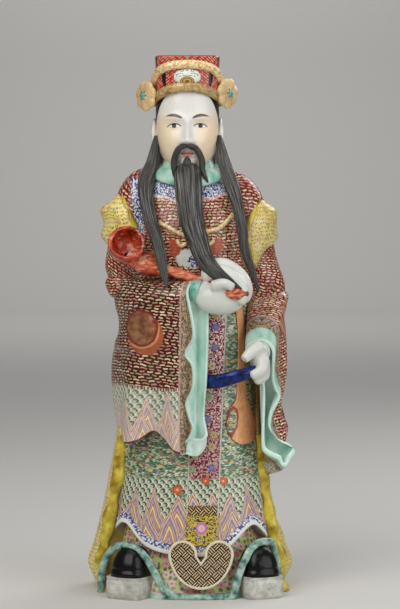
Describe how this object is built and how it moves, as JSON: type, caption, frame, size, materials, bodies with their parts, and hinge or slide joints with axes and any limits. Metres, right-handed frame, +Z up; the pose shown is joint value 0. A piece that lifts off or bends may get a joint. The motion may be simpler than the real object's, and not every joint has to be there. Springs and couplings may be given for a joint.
{
  "type": "porcelain figure",
  "caption": "Standing porcelain figure of a robed court official with a long beard and wide sleeves, holding a cup-headed sceptre and the hoop of its belt; stands on its own flat base.",
  "frame": {"origin": "centre of the base's footprint, on the surface it stands on", "axes": "+Z up the figure; it faces -Y, and +X is to the right of someone looking at its face"},
  "size_m": [0.2319, 0.173, 0.597],
  "materials": {
    "glaze_white": "clear glaze over white porcelain, glossy",
    "robe_red": "iron-red enamel with fine pale strokes, glossy",
    "robe_green": "pale green and turquoise enamel with fine scrolls, glossy",
    "lining_turquoise": "translucent turquoise enamel, glossy",
    "shawl_yellow": "yellow enamel with fine speckled scrolls, glossy",
    "panel_magenta": "deep pink enamel with scrolls and flowers, glossy",
    "hair_black": "black-brown enamel combed in fine lines, satin",
    "gold": "matt gold over iron red, satin",
    "coral_red": "coral-red enamel, glossy",
    "cobalt_blue": "deep cobalt-blue enamel, glossy",
    "shoe_black": "black enamel, glossy",
    "biscuit": "unglazed porcelain, matt"
  },
  "bodies": {
    "root": {"figure": "glaze_white"}
  },
  "joints": []
}
